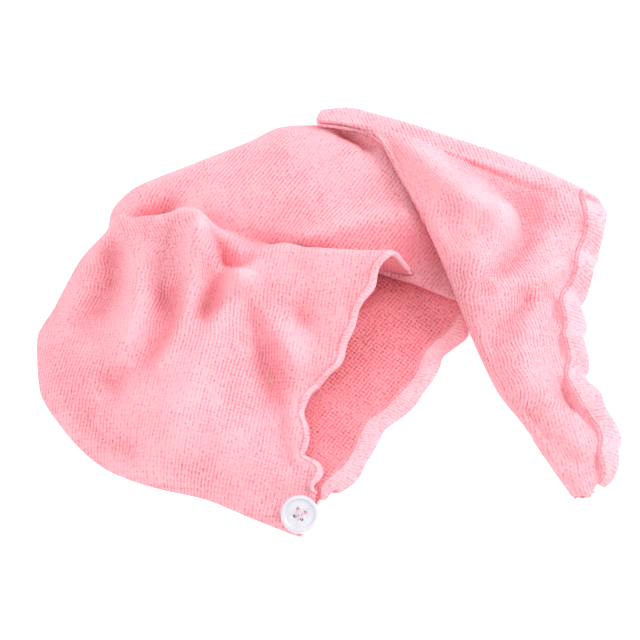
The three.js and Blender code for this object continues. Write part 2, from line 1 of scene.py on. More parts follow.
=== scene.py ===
# %% [markdown]
# # A hair turban towel that lies crumpled
# The towel is two mirrored panels of waffle microfibre, sewn along the crown and the front. It lies on its side on a
# white table with the tail folded back over the hood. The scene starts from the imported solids, which give the size
# and place of every piece, and each soft solid is replaced here by finer cloth of the same form.

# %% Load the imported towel
import math

import bmesh
import bpy
import numpy as np
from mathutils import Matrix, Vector


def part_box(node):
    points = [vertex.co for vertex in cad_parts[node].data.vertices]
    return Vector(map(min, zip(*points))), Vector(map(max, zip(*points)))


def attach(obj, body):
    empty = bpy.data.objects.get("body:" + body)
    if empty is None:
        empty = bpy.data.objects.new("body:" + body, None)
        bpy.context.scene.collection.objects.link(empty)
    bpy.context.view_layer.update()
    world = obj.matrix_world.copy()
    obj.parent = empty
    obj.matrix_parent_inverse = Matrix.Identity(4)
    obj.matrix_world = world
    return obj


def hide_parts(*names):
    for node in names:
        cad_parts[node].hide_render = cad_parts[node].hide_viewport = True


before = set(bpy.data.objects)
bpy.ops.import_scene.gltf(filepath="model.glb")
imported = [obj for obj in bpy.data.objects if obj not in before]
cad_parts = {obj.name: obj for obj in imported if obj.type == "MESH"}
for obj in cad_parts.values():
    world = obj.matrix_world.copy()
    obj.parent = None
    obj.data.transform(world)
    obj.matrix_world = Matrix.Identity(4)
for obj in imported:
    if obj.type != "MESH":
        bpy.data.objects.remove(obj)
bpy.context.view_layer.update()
MM = 0.001

# %% [markdown]
# ## The towel's sections
# Cloth that lies in folds could be simulated, but a simulation seldom lands on the very folds of one photograph. The
# form here is lofted: each row below is a section from the mouth to the crown seam, in order from the nape to the
# crease, and then from the crease to the tail's tip. The crease, where the tail folds back, has a short table of its
# own. Places are in hundredths of the towel's own length, depth and height, so the whole keeps its folds when a size
# changes.

# %% Sizes and sections
# all in millimetres
LENGTH = 400
DEPTH = 300
HEIGHT = 60
CLOTH = 2.4                    # thickness of the cloth
GAP = 0.3                      # air on either side of a cloth that lies on another
PUFF = 7                       # the most that the tail's two cloths stand apart
EDGE_ROLL = 5                  # how far the tail's crown edge rolls down
SPACING = CLOTH + 2 * GAP      # from the middle of one cloth to the middle of the next
EDGE_Z = 1.5 * CLOTH + GAP     # the upper panel's middle where it lies on the lower one
TAIL_REST = 2.2 * SPACING      # the tail's outer cloth above what it rests on
TURN_REST = 2.4 * SPACING      # the same at the crease, with room for the turn
INNER_REST = 1.5 * SPACING     # from the top of the turn down to the inner cloth

# rim x, y, z; lower panel's rim x, y; crown x, y; bow; five heights towards the crown
HOOD = np.array([
    [47.5, 7.3, 9, 47.8, 7.3, 45.2, 0.7, 0, 9, 9, 9, 9, 8],
    [47, 12.7, 12, 48.5, 12, 37, 5.3, 0, 13, 14, 14, 13, 10],
    [46.8, 16, 16, 49.8, 15, 28.8, 10, 0, 26, 30, 28, 22, 13],
    [45.2, 19.3, 20, 52.5, 19, 20.8, 12.6, 0, 40, 46, 42, 32, 19],
    [44.8, 25.3, 28, 54.5, 22.7, 12.8, 16.9, 0, 50, 56, 50, 38, 23],
    [45.2, 32.3, 35, 56.2, 29, 5.4, 26.6, 0, 54, 60, 56, 44, 27],
    [47.8, 36, 42, 59.5, 32.7, 1, 37.6, 0, 58, 62, 58, 47, 29],
    [50.2, 38.7, 50, 62.2, 36, 0.5, 48.3, 0, 64, 64, 60, 47, 29],
    [52.5, 46, 66, 63.8, 40, 3.4, 56.8, 0, 70, 68, 62, 48, 29],
    [55.5, 54, 86, 65.5, 44, 7.8, 69, -1, 84, 74, 74, 54, 32],
    [59.5, 62, 100, 67.5, 48, 12.4, 77, -4, 92, 76, 92, 70, 50],
    [65.5, 64, 12, 71, 53.7, 12.8, 80.6, -1, 20, 30, 36, 32, 24],
    [73.8, 58, 7, 73.8, 57.3, 16, 86.2, 0, 24, 40, 42, 36, 27],
    [80, 65.3, 7, 80, 65.3, 26.2, 92.8, 0, 26, 44, 48, 42, 31],
    [85.5, 72, 7, 85.5, 72, 35.8, 98.4, 0, 26, 44, 50, 44, 30],
    [89.5, 78.6, 8, 89.5, 78.6, 42.6, 102.6, 0, 24, 40, 45, 38, 24],
])

# share of the way from the seam to the crown, and x, y of the line where the tail folds back
CREASE = np.array([
    [0, 93.4, 86.2],
    [0.2, 85.2, 91],
    [0.45, 74.4, 95.9],
    [0.68, 64.9, 100.2],
    [0.84, 58, 103.5],
    [0.94, 53, 105.4],
    [1, 49, 105],
])
TURN_STEPS = 4                 # steps that the turn at the crease is made in

# seam x, y; crown x, y; five heights from the seam to the crown
TAIL = np.array([
    [93, 84, 50, 100, 23, 42, 52, 52, 42],
    [93.9, 79.8, 57.2, 97, 20, 43, 57, 62, 57],
    [93, 72, 62.3, 85.6, 17, 40, 55, 67, 60],
    [92, 65.9, 65.6, 77, 15, 38, 53, 63, 58],
    [89.9, 60, 69, 66.8, 14, 34, 48, 58, 52],
    [89.6, 54, 71.8, 57.2, 14, 30, 43, 50, 43],
    [90.2, 47.7, 74.1, 49.4, 14, 27, 37, 42, 33],
    [90.1, 41.3, 76.4, 42.2, 14, 25, 33, 37, 27],
    [91.4, 35.3, 78.9, 35.2, 14, 23, 30, 30, 22],
    [93.2, 29.3, 82.2, 29.2, 14, 22, 27, 27, 18],
    [95.6, 23.3, 85.4, 22.6, 14, 22, 27, 25, 17],
    [96, 16.8, 88.3, 16.2, 13, 20, 23, 22, 15],
    [94, 9.6, 91.4, 9.8, 11, 14, 15, 15, 12],
])
SHARE = np.array([LENGTH, DEPTH, HEIGHT]) / 100
print("sections:", len(HOOD), "on the hood,", len(TAIL), "on the tail")

# %% [markdown]
# ## Folds pressed into the cloth
# A crumpled towel shows soft creases that run out from where it is pinched. Each row is one of them: a crest where its
# depth is above zero and a valley where it is below. It runs in a curve through three places, and its width and depth
# change from one end to the other. A crest that leans back is also pushed away from the nape. They are added to the
# lofted form as smooth bumps, which stays easy to compare with the photograph one crease at a time.

# %% The creases of the hood and of the tail
# from x, y; by way of x, y; to x, y; width and end width; depth and end depth; lean
HOOD_FOLDS = np.array([
    [26, 73, 27.3, 70, 28.6, 66, 3.2, 2.6, 10, 8, 3],
    [36, 67.5, 35.6, 65.5, 35.2, 63.5, 3, 3, -6, -6, -1.5],
    [28.4, 64, 36, 54, 45.6, 34.5, 2.1, 2.5, 20, 22, 0],
    [36.2, 53, 40.2, 40.2, 43.4, 20, 2.5, 3.8, -28, -20, 0],
    [31.9, 63, 31.2, 57, 28.8, 49.7, 2.9, 2.2, -32, -16, 0],
    [27.2, 64.3, 26, 51, 21.8, 38, 1.7, 2.8, 19, 12, 0],
    [34.9, 56.9, 29.3, 40.8, 22.7, 19.7, 2.4, 4, 16, 14, 0],
    [23.2, 54.8, 22.4, 44.8, 13.5, 34.5, 2, 3, -16, -17, 0],
    [14.4, 71.5, 17.6, 58, 15.2, 39, 1.7, 2.8, 14, 14, 0],
    [13, 70, 13.6, 61.5, 8.4, 50, 2.2, 3.8, -24, -14, 0],
    [17, 19.6, 10.4, 25.6, 5, 37, 2, 2.6, -10, -6, 0],
    [23, 68.5, 21.6, 56.5, 19.6, 44.5, 1.8, 2.2, -9, -9, 0],
    [16.3, 77.2, 19.3, 78.6, 22.2, 79.6, 1.8, 1.8, -24, -18, 0],
    [42.6, 68.4, 52.8, 73.1, 63, 77.1, 1.9, 2.6, 12, 10, 0],
    [53.2, 98.6, 54.8, 97, 56.6, 95, 1.5, 1.6, -24, -16, 0],
    [45.2, 49.8, 46.8, 47, 48.2, 44.4, 1.8, 1.8, -10, -6, 0],
])
TAIL_FOLDS = np.array([
    [63, 92, 68.3, 85, 77, 75, 2.8, 3, 8, 14, 0],
    [79.6, 76, 78.4, 68.8, 75.2, 59.5, 2.2, 2.4, 14, 8, 0],
    [72, 91, 77.5, 86, 85, 79.6, 3.4, 2.8, -4, -24, 0],
    [85, 80, 82.5, 70, 76.5, 58.5, 2.4, 2.2, -24, -14, 0],
    [89.4, 65, 85.4, 60.6, 79.2, 58, 1.8, 2, 12, 8, 0],
    [83.4, 56.5, 81, 50.4, 78.1, 45, 1.7, 1.8, -13, -8, 0],
    [88.2, 58, 89, 54.5, 89.4, 51, 1.6, 1.6, -9, -8, 0],
    [84.6, 28.8, 88.2, 21.6, 93, 16.6, 2.2, 2.2, -6, -5, 0],
    [90, 37, 90.8, 34, 91.4, 31.8, 1.6, 1.6, -9, -8, 0],
    [84, 47, 83, 41, 84.5, 34, 2, 2, 6, 4, 0],
])
PIECES = 8                     # straight pieces that a fold's curve is measured by
STEEPNESS = 1.7                # 1 gives a fold a sharp crest, 2 a round one


def relief(folds, x, y):
    """Height of the pressed folds at each place, and how far they lean back."""
    height, back = np.zeros_like(x), np.zeros_like(x)
    for fold in folds:
        start, middle, end = fold[:6].reshape(3, 2) * SHARE[:2]
        f = np.linspace(0, 1, PIECES + 1)[:, None]
        course = (1 - f) ** 2 * start + 2 * f * (1 - f) * (2 * middle - (start + end) / 2) + f * f * end
        away, share = np.full_like(x, np.inf), np.zeros_like(x)
        for n, (a, b) in enumerate(zip(course, course[1:])):
            run = b - a
            near = np.clip(((x - a[0]) * run[0] + (y - a[1]) * run[1]) / (run @ run), 0, 1)
            gap = np.hypot(x - a[0] - run[0] * near, y - a[1] - run[1] * near)
            share = np.where(gap < away, (n + near) / PIECES, share)
            away = np.minimum(gap, away)
        width, depth = mix(fold[6], fold[7], share) * SHARE[0], mix(fold[8], fold[9], share) * SHARE[2]
        form = np.exp(-(away / width) ** STEEPNESS)
        height += depth * form
        back += fold[10] * SHARE[1] * form
    return height, back


def unit(v):
    """The same directions with length one."""
    return v / np.maximum(np.linalg.norm(v, axis=-1, keepdims=True), 1e-9)


def ease(share):
    """0 up to 0 and 1 from 1 on, with a smooth start and end."""
    s = np.clip(share, 0, 1)
    return s * s * (3 - 2 * s)


def mix(a, b, share):
    """The value a at share 0 and b at share 1."""
    return a + (b - a) * share


print("creases:", len(HOOD_FOLDS), "on the hood,", len(TAIL_FOLDS), "on the tail")

# %% [markdown]
# ## A smooth line through a table
# A spline through the rows could swing past them and make bulges that no row asks for. The line used here takes the
# harmonic mean of the two neighbouring slopes and goes flat at every turning point, so it never overshoots.

# %% Smooth lines
def through(places, values, at):
    """Values at each place of at, on a smooth line through the values at places, along the first axis."""
    places, values, at = np.asarray(places, float), np.asarray(values, float), np.asarray(at, float)
    tail = (1,) * (values.ndim - 1)
    rise = np.diff(values, axis=0) / np.diff(places).reshape(-1, *tail)
    product, total = rise[:-1] * rise[1:], rise[:-1] + rise[1:]
    inner = np.where(product > 0, 2 * product / np.where(total == 0, 1, total), 0)
    slope = np.concatenate([rise[:1], inner, rise[-1:]])
    i = np.clip(np.searchsorted(places, at, side="right") - 1, 0, len(places) - 2)
    wide = places[i + 1] - places[i]
    f = np.clip((at - places[i]) / wide, 0, 1).reshape(-1, *tail)
    wide = wide.reshape(-1, *tail)
    b = 1 - f
    return ((1 + 2 * f) * b * b * values[i] + f * b * b * wide * slope[i]
            + f * f * (3 - 2 * f) * values[i + 1] - f * f * b * wide * slope[i + 1])


print("half way from 0 to 1:", float(through([0, 1, 2], [0, 1, 1], [0.5])[0]))

# %% [markdown]
# ## From sections to two panels
# The lower panel lies flat from the nape to the crease, turns up round it and becomes the tail's upper cloth. The upper
# panel does the same inside it. Both are grids of points: one way along the towel from the nape to the tip, the other
# across it from the mouth to the crown. The tail also rests on what is under it, which a small height map finds.

# %% The key sections of both panels
# shares of the way to the crown at which the tables give a height
ACROSS = [0, 0.25, 0.5, 0.68, 0.84, 0.94, 1]
TAIL_ACROSS = [0, 0.25, 0.5, 0.75, 1]
# numbers of the hood's last section, the turn's end and the tail's tip
HOOD_END = len(HOOD) - 1
TURN_END = HOOD_END + TURN_STEPS + 1
TIP = TURN_END + len(TAIL) - 1


def turned(s, angle, bottom, top, inset):
    """One section of the half round turn at the crease, between a lower and an upper height."""
    line = CREASE[:, 1:] * SHARE[:2]
    way_x, way_y = unit((line[-1] - line[0]) @ np.array([[0, -1], [1, 0]]))
    x, y = through(CREASE[:, 0], line, s).T
    radius = (top - bottom) / 2
    out = radius * math.cos(angle) - radius - inset
    return np.stack([x + way_x * out, y + way_y * out, (top + bottom) / 2 + radius * math.sin(angle)], axis=-1)


def key_sections(s):
    """Points of both panels on the key sections, and how far the tail's two cloths may stand apart at the crease."""
    heights = HOOD[:, [2, 8, 9, 10, 11, 12, 12]] * SHARE[2]
    heights[:, 0] = np.maximum(heights[:, 0], EDGE_Z)
    heights[:, 6] = EDGE_Z
    z = np.maximum(through(ACROSS, heights.T, s).T, EDGE_Z)
    x = mix(HOOD[:, [0]], HOOD[:, [5]], s) * SHARE[0]
    y = (mix(HOOD[:, [1]], HOOD[:, [6]], s) + HOOD[:, [7]] * np.sin(np.pi * s)) * SHARE[1]
    top = [np.stack([x, y, z], axis=-1)]
    low_x = mix(HOOD[:, [3]], HOOD[:, [5]], s) * SHARE[0]
    low_y = mix(HOOD[:, [4]], HOOD[:, [6]], s) * SHARE[1]
    low = [np.stack([low_x, low_y, np.full_like(low_x, CLOTH / 2)], axis=-1)]
    tail_z = through(TAIL_ACROSS, TAIL[:, 4:].T * SHARE[2], s).T
    last = z[-1]
    fold_top = np.maximum(tail_z[0], last + TURN_REST)
    slack = np.clip(0.5 * (fold_top - last - TAIL_REST), 0, PUFF) * np.sin(np.pi * s)
    inner = fold_top - INNER_REST - slack
    inset = (fold_top - CLOTH / 2 - inner + last) / 2
    for i in range(TURN_STEPS + 1):
        angle = -np.pi / 2 + np.pi * i / TURN_STEPS
        top.append(turned(s, angle, last, inner, inset)[None])
        low.append(turned(s, angle, np.full_like(s, CLOTH / 2), fold_top, 0)[None])
    tail_x = mix(TAIL[1:, [0]], TAIL[1:, [2]], s) * SHARE[0]
    tail_y = mix(TAIL[1:, [1]], TAIL[1:, [3]], s) * SHARE[1]
    tail = np.stack([tail_x, tail_y, tail_z[1:]], axis=-1)
    return np.concatenate(top + [tail]), np.concatenate(low + [tail]), slack


# %% The height that the tail rests on
CELL = 6                       # the map's cells, in millimetres
MARGIN = 3                     # cells before the tables' corner, both ways
SPARE = (8, 12)                # cells more than the towel is long and deep
SHELF_FROM = 11.4              # the first section that lies under the tail
SHELF_STEP = 0.04              # of a section, from one line of points to the next


def shelf_under_tail(top_keys):
    """A coarse map of the hood's upper face under the tail, spread by a cell and smoothed."""
    lines = np.arange(SHELF_FROM, HOOD_END + 0.5, SHELF_STEP)
    points = through(range(len(top_keys)), top_keys, lines).reshape(-1, 3)
    wide, deep = math.ceil(LENGTH / CELL) + SPARE[0], math.ceil(DEPTH / CELL) + SPARE[1]
    height = np.zeros((deep, wide))
    face = points[:, 2] + relief(HOOD_FOLDS, points[:, 0], points[:, 1])[0] + CLOTH / 2
    i = np.clip(np.rint(points[:, 0] / CELL).astype(int) + MARGIN, 0, wide - 1)
    j = np.clip(np.rint(points[:, 1] / CELL).astype(int) + MARGIN, 0, deep - 1)
    np.maximum.at(height, (j, i), face)
    shifts = [(a, b) for a in (-1, 0, 1) for b in (-1, 0, 1)]
    height = np.max([np.roll(height, shift, (0, 1)) for shift in shifts], axis=0)
    for _ in range(2):
        height = np.mean([np.roll(height, shift, (0, 1)) for shift in shifts], axis=0)

    def at(x, y):
        u = np.clip(x / CELL + MARGIN, 0, wide - 1.01)
        v = np.clip(y / CELL + MARGIN, 0, deep - 1.01)
        i, j = u.astype(int), v.astype(int)
        low = mix(height[j, i], height[j, i + 1], u - i)
        return mix(low, mix(height[j + 1, i], height[j + 1, i + 1], u - i), v - j)

    return at


# %% Undulation and waved edges
STEPS_ALONG = 330
STEPS_ACROSS = 140
CLOSER_AT_EDGES = 0.6          # 0 spaces the lines across evenly, 1 draws them to both edges
# each gentle undulation: seed, height and length in millimetres
HOOD_CRUMPLE = [(3, 1.1, 46), (4, 0.3, 24)]
TAIL_CRUMPLE = [(5, 0.9, 40), (6, 0.45, 18)]
WAVES = 7                      # waves that are added up for one undulation
WAVES_TO_ONE = 2.6             # their sum's usual height


def normals(grid):
    """Directions straight out of the cloth at each point of a grid."""
    return unit(np.cross(np.gradient(grid, axis=0), np.gradient(grid, axis=1)))


def waves(seed, x, y, length):
    """Gentle undulation of about one unit, the sum of a few waves in seeded directions."""
    chance = np.random.default_rng(seed)
    total = np.zeros_like(x)
    for _ in range(WAVES):
        angle, start, stretch = chance.uniform(0, np.pi), chance.uniform(0, 6.3), chance.uniform(0.7, 1.5)
        total += np.sin((x * math.cos(angle) + y * math.sin(angle)) * 2 * np.pi / (length * stretch) + start)
    return total / WAVES_TO_ONE


def crumpled(rows, x, y):
    """The sum of the undulations in rows of seed, height and length."""
    return sum(height * waves(seed, x, y, length) for seed, height, length in rows)


WAVED_LINES = 9.0              # lines from the edge at which its waves have mostly faded
EDGE_LINES = 4                 # lines from the edge over which its direction is taken


def waved(grid, ts, s, last, length, sideways, lift):
    """The mouth or seam edge in waves of drifting length, that fade out into the cloth and towards both ends."""
    steps = np.linalg.norm(np.diff(grid[:, 0], axis=0, prepend=grid[:1, 0]), axis=-1)
    path = np.cumsum(steps)
    phase = 2 * np.pi * path / length + 1.3 * np.sin(path / 31) + 0.8 * np.sin(path / 17)
    near = np.exp(-(np.arange(len(s)) / WAVED_LINES) ** 2) * ease((last - ts) * 2) * ease(ts * 2)
    edge = grid[:, [0]] - grid[:, [EDGE_LINES]]
    square = unit(edge * [1, 1, 0])
    moved = grid + square * (sideways * np.sin(phase)[:, None] * near)[..., None]
    moved[..., 2] += (lift * np.cos(phase)[:, None] + lift) * near
    return moved


print("lines along:", STEPS_ALONG + 1, "and across:", STEPS_ACROSS + 1)

# %% [markdown]
# ## Both panels, and how hollow they are
# Light that falls into a fold is thrown from pink to pink and comes out redder. Each point therefore keeps a number
# for how deep it lies: above zero in a valley or in the corner under the tail, below zero on a crest. The cloth's
# finish reads it later as a mesh attribute.

# %% Both panels as fine grids
HOLLOW = 16                           # a fold this deep counts as one, in millimetres
CREST = -0.7                          # the least that a crest counts
CORNER = np.array([66, 71, 6, 9])     # x, y and the reach both ways of the shaded corner under the tail
CORNER_DEPTH = 1.2                    # what the corner's middle counts
RIDGE_FOOT = 10.8                     # the section where the front flap ends, at the foot of the mouth's ridge
TOP_WAVE, LOW_WAVE = 26, 37           # length of the waves in each panel's edge, in millimetres


def build_panels():
    """Both panels' grids, the places of their lines, and how hollow the cloth is at each point."""
    k = np.arange(STEPS_ACROSS + 1) / STEPS_ACROSS
    s = mix(k, 0.5 - 0.5 * np.cos(np.pi * k), CLOSER_AT_EDGES)
    t = TIP * np.arange(STEPS_ALONG + 1) / STEPS_ALONG
    top_keys, low_keys, slack = key_sections(s)
    shelf = shelf_under_tail(top_keys)
    order = range(len(top_keys))
    top, low = through(order, top_keys, t), through(order, low_keys, t)
    ts = t[:, None]
    x, y = top[..., 0], top[..., 1]
    held = ease((1 - s) * 8) * ease(s * 6) * ease(HOOD_END + 1 - ts)
    crumple = crumpled(HOOD_CRUMPLE, x, y) * ease((HOOD_END - ts) / 2)
    height, back = relief(HOOD_FOLDS, x, y)
    top[..., 2] = np.maximum(top[..., 2] + (height + crumple) * held, EDGE_Z)
    middle, spread = CORNER[:2] * SHARE[:2], CORNER[2:] * SHARE[:2]
    corner = np.exp(-((x - middle[0]) / spread[0]) ** 2 - ((y - middle[1]) / spread[1]) ** 2) * (ts > RIDGE_FOOT)
    top_hollow = np.clip(CORNER_DEPTH * corner - height * held / HOLLOW, CREST, 1)
    top[..., 1] += back * held
    x, y, z = low[..., 0], low[..., 1], low[..., 2]
    on_tail = ease(ts - TURN_END)
    roll = EDGE_ROLL * (1 - np.sqrt(1 - np.clip((s - 0.9) / 0.1, 0, 1) ** 2))
    calm = ease(s * 6) * ease((1 - s) * 6)
    crumple = crumpled(TAIL_CRUMPLE, x, y)
    height = relief(TAIL_FOLDS, x, y)[0]
    low_hollow = np.clip(-height * on_tail * calm / HOLLOW, CREST, 1)
    folded = z + on_tail * ((height + crumple) * calm - roll)
    resting = np.maximum(folded, shelf(x, y) + TAIL_REST)
    low[..., 2] = mix(z, resting, on_tail)
    top = waved(top, ts, s, HOOD_END - 4.5, TOP_WAVE, 2.4 - 1.4 * ease((ts - 4) / 3), 0.8)
    low = waved(low, ts, s, TIP, LOW_WAVE, 1.6, 2.2 * on_tail)
    out = normals(low)
    room = np.maximum(low[..., 2] - shelf(x, y) - TAIL_REST, 0)
    puff = mix(slack, np.minimum(0.7 * room, PUFF) * np.sin(np.pi * s), ease(ts - TURN_END))
    way = -np.sign(np.median(out[t > TURN_END + 1, :, 2]))
    inner = low + out * way * (SPACING + puff)[..., None]
    top = np.where((ts > TURN_END)[..., None], inner, top)
    return top, low, s, t, top_hollow, low_hollow


top_grid, low_grid, s_line, t_line, top_hollow, low_hollow = build_panels()
print("panel grids:", top_grid.shape, "upper panel's highest point, mm:", round(float(top_grid[..., 2].max()), 1))

# %% [markdown]
# ## Where the weave lies
# The ribs of the waffle run parallel to the mouth on the hood, and along the tail after the crease. A weave that is
# only projected from above would smear on every steep fold, so each point gets its own place in the flat cloth: the
# place from above, plus the extra length of cloth that the slopes have taken up on the way.

# %% Places in the flat cloth
MOUTH_ANGLE = math.radians(53.5)
FRONT_ANGLE = math.radians(80)
TAIL_ANGLE = math.radians(-74)
HOOD_SLOPES = 0.35             # share of the hood's extra length that is counted, as its folds partly stretch


def flat_places(grid, front):
    """Places in the flat cloth, in millimetres along and across the ribs."""
    steps = [np.diff(grid, axis=a, prepend=np.take(grid, [0], axis=a)) for a in (0, 1)]
    hood = (t_line <= HOOD_END + 1)[:, None]
    counted = np.where(hood, HOOD_SLOPES, 1)
    extra = [np.cumsum((np.linalg.norm(d, axis=-1) - np.linalg.norm(d[..., :2], axis=-1)) * counted, axis=a)
             for a, d in enumerate(steps)]
    angle = np.where(hood, MOUTH_ANGLE, TAIL_ANGLE)
    angle = np.where((t_line < RIDGE_FOOT)[:, None], front, angle)
    side = np.where(hood, 1, -1)
    p = grid[..., 0] * np.cos(angle) + grid[..., 1] * np.sin(angle) + extra[0]
    q = (-grid[..., 0] * np.sin(angle) + grid[..., 1] * np.cos(angle)) * side + extra[1]
    return np.stack([p, q], axis=-1)


top_places, low_places = flat_places(top_grid, FRONT_ANGLE), flat_places(low_grid, MOUTH_ANGLE)
print("flat cloth spans, mm:", np.ptp(low_places.reshape(-1, 2), axis=0).round(0))

# %% [markdown]
# ## From the tables to the frame
# The tables count from a corner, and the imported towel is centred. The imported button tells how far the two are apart,
# because its place is known in both.

# %% Where the tables' corner lies in the frame
BUTTON_THICKNESS = 4
BUTTON_TILT = math.radians(12)
BUTTON_PLACE = np.array([45.1, 4.5]) * SHARE[:2]


def centre_of(node):
    """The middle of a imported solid's box, in metres."""
    low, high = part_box(node)
    return (Vector(low) + Vector(high)) / 2


button_middle = np.array(centre_of("button")) / MM
leaning = np.array([0, -math.sin(BUTTON_TILT) * BUTTON_THICKNESS / 2])
ORIGIN = np.append(BUTTON_PLACE + leaning - button_middle[:2], 0)
print("the tables' middle is at, mm:", ORIGIN.round(1))

# %% [markdown]
# ## A closed sheet of cloth
# Real cloth has a thickness and a soft rounded edge. A Solidify modifier could give the thickness, but its edge is
# square, so the two faces and a rounded rim are built here point by point.

# %% Cloth from a grid
UV_PER_MM, MM_PER_UV = 0.01, 100
RIM_OUT = 0.9                  # how far the rim stands out, in half thicknesses


def cloth_object(name, grid, places, thickness, hollow=None):
    """A closed sheet round a grid of points in millimetres. Thickness is one number, or one for each line across."""
    out = normals(grid)
    half = (np.broadcast_to(thickness, grid.shape[1]) / 2)[None, :, None]
    rows, cols = grid.shape[:2]
    upper, lower = grid + out * half, grid - out * half
    index = np.arange(rows * cols).reshape(rows, cols)
    loop = np.concatenate([index[0, :-1], index[:-1, -1], index[-1, :0:-1], index[:0:-1, 0]])
    inside = np.clip(np.stack(np.unravel_index(loop, (rows, cols)), axis=-1), 1, [rows - 2, cols - 2])
    edge = grid.reshape(-1, 3)[loop]
    away = unit(edge - grid[inside[:, 0], inside[:, 1]])
    rim = edge + away * (np.broadcast_to(half[0], (cols, 1))[loop % cols] * RIM_OUT)
    points = np.concatenate([upper.reshape(-1, 3), lower.reshape(-1, 3), rim])
    points[:, 2] = np.maximum(points[:, 2], 0)
    count, here = rows * cols, np.arange(len(loop))
    there, next_loop = np.roll(here, -1), np.roll(loop, -1)
    a, b, c, d = (part.ravel() for part in (index[:-1, :-1], index[1:, :-1], index[1:, 1:], index[:-1, 1:]))
    faces = np.concatenate([np.stack(corners, axis=-1) for corners in (
        (a, b, c, d),
        (count + a, count + d, count + c, count + b),
        (loop, next_loop, 2 * count + there, 2 * count + here),
        (2 * count + here, 2 * count + there, count + next_loop, count + loop),
    )])
    mesh = bpy.data.meshes.new(name)
    mesh.from_pydata(((points - ORIGIN) * MM).tolist(), [], faces.tolist())
    flat = np.concatenate([places.reshape(-1, 2)] * 2 + [places.reshape(-1, 2)[loop]])
    corner = np.empty(len(mesh.loops), dtype=np.int32)
    mesh.loops.foreach_get("vertex_index", corner)
    mesh.uv_layers.new(name="cloth").data.foreach_set("uv", (flat[corner] * UV_PER_MM).ravel())
    if hollow is not None:
        depth = np.concatenate([hollow.ravel()] * 2 + [hollow.ravel()[loop]])
        mesh.attributes.new("hollow", "FLOAT", "POINT").data.foreach_set("value", depth)
    mesh.polygons.foreach_set("use_smooth", np.ones(len(mesh.polygons), dtype=bool))
    mesh.update()
    piece = bpy.data.objects.new(name, mesh)
    bpy.context.scene.collection.objects.link(piece)
    return piece


top_cloth = cloth_object("upper_cloth", top_grid, top_places, CLOTH, top_hollow)
low_cloth = cloth_object("lower_cloth", low_grid, low_places, CLOTH, low_hollow)
print("cloth faces:", len(top_cloth.data.polygons) + len(low_cloth.data.polygons))

# %% [markdown]
# ## Hems and the front seam
# The mouth has a narrow turned hem, and the front seam is overlocked with a stretched thread, so it lies in waves. Both
# are strips that go on from the panels' edges, a little thicker than the cloth. The waves lift the strip's outer edge
# up and down and push it in and out, as a stretched edge does.

# %% Strips along the edges
TOP_HEM_WIDTH = 5
BOTTOM_HEM_WIDTH = 13
HEM_CLOTH = 3.6
SEAM_WIDTH = 14
SEAM_CLOTH = 3.6
SMOOTHED = 9                   # sections over which a strip's direction is evened out
STRIP_LINES = 9                # lines of points across a strip
SWAY_LAG = 0.7                 # shift between the sway and the lift, in radians
START = 0.2                    # gap between a strip's first line and the panel's edge, in millimetres


def edge_strip(name, grid, first, last, width, thickness, lowest, sink=0, lift=0, sway=0, count=0, seed=0):
    """A strip outside the grid's first line, from one section to another, with waves in its free edge."""
    kept = np.flatnonzero((t_line >= first) & (t_line <= last))
    edge, out = grid[kept, 0], normals(grid)[kept, 0]
    inward = unit(grid[kept, 1] - edge)
    square = unit(np.cross(out, np.gradient(edge, axis=0)))
    square *= np.where((square * inward).sum(-1, keepdims=True) > 0, -1, 1)
    kernel = np.ones(SMOOTHED) / SMOOTHED
    padded = np.pad(square, ((SMOOTHED // 2, SMOOTHED // 2), (0, 0)), mode="edge")
    square = unit(np.stack([np.convolve(padded[:, a], kernel, "valid") for a in range(3)], axis=-1))
    along = np.linspace(0, 1, len(kept))
    path = np.concatenate([[0], np.cumsum(np.linalg.norm(np.diff(edge, axis=0), axis=-1))])
    taper = 0.3 + 0.7 * ease(np.minimum(along, 1 - along) * 14)
    chance = np.random.default_rng(seed)
    drift = np.cumsum(chance.normal(0, 0.06, len(kept)))
    phase = 2 * np.pi * count * along + drift
    parts = np.linspace(1, 0, STRIP_LINES)
    start = edge - out * sink
    rows = []
    for part in parts:
        far = START + part * (width * taper + sway * np.cos(phase + SWAY_LAG))
        place = start + square * far[:, None]
        place[:, 2] += lift * part * np.sin(phase)
        place[:, 2] = np.maximum(place[:, 2], lowest)
        rows.append(place)
    strip = np.stack(rows, axis=1)
    places = np.stack([np.broadcast_to(path[:, None], strip.shape[:2]),
                       np.broadcast_to(-parts * width, strip.shape[:2])], axis=-1)
    body = np.interp(parts, [0, 0.25, 0.8, 1], [CLOTH, thickness, thickness, 0.7 * thickness])
    print(name, "is", round(float(path[-1])), "mm long")
    return cloth_object(name, strip, places, body)


top_hem = edge_strip("upper_hem", top_grid, 0.4, 10.7, TOP_HEM_WIDTH, HEM_CLOTH, HEM_CLOTH / 2 + SPACING,
                     lift=0.8, sway=0.7, count=7, seed=1)
bottom_hem = edge_strip("lower_hem", low_grid, 0.4, 11.6, BOTTOM_HEM_WIDTH, HEM_CLOTH, HEM_CLOTH / 2,
                        lift=1.4, sway=1.0, count=5, seed=2)
front_seam = edge_strip("seam_band", low_grid, TURN_END - 0.5, TIP - 0.4, SEAM_WIDTH, SEAM_CLOTH, SEAM_CLOTH / 2,
                        sink=SPACING / 2, lift=2.6, sway=1.6, count=8, seed=3)

# %% [markdown]
# ## The button, its thread and the loop
# The button is turned plastic: a smooth raised rim round a shallow dish with four holes. A profile spun round the
# upright axis is the shape itself. The holes are cut with a Boolean modifier, as a drill would.

